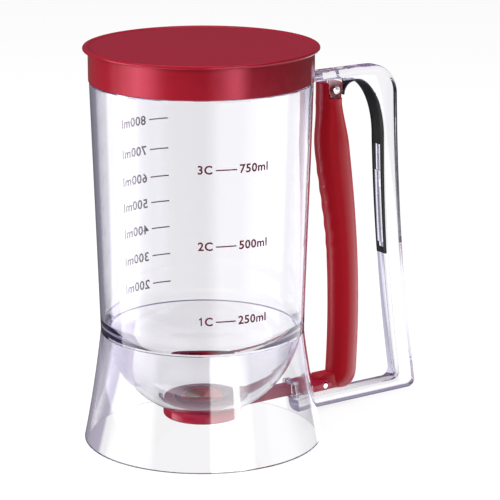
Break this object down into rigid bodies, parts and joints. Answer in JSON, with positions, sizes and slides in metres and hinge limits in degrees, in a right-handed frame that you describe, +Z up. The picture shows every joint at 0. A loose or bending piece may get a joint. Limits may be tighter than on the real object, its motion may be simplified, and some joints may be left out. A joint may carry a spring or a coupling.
{
  "type": "batter dispenser",
  "caption": "Clear batter dispenser jug on a flared base, with a press-on lid, a loop handle and a sprung squeeze trigger that draws a gate valve open under the bowl.",
  "frame": {"origin": "centre of the overall box in X and Y, on the plane that the base stands on", "axes": "+Z up along the jug's axis, +X from the jug towards the grip of the handle, +Y to the left when looking along +X"},
  "size_m": [0.1862, 0.115, 0.1912],
  "materials": {
    "clear": "clear, polished",
    "red": "glossy",
    "spring": "black, satin",
    "steel": "plain",
    "seal": "soft, matt"
  },
  "bodies": {
    "jug": {"jug_shell": "clear", "base_skirt": "clear", "handle_frame": "clear", "return_spring": "spring", "pivot_pin": "steel", "pin_nut": "steel", "valve_cup": "red", "outlet_seal": "seal", "rod_bush": "clear"},
    "trigger": {"trigger_lever": "red", "link_pin": "steel"},
    "valve": {"valve_rod": "red", "gate_blade": "red", "tail_rivet": "steel"},
    "lid": {"lid_cap": "red", "lid_seal": "seal"}
  },
  "joints": [
    {"name": "trigger_squeeze", "type": "hinge", "parent": "jug", "child": "trigger", "pos_m": [0.0394, 0, 0.1624], "axis": [0, -1, 0], "range_deg": [0, 8], "stiffness_Nm_per_rad": 2, "springref_deg": -11.46, "deforming": ["return_spring"]},
    {"name": "valve_slide", "type": "slide", "parent": "jug", "child": "valve", "axis": [1, 0, 0], "range_m": [0, 0.0209]},
    {"name": "lid_lift", "type": "slide", "parent": "jug", "child": "lid", "axis": [0, 0, 1], "range_m": [0, 0.05]}
  ],
  "couplings": [
    {"joint": "valve_slide", "follows": "trigger_squeeze", "m_per_rad": 0.14913}
  ]
}
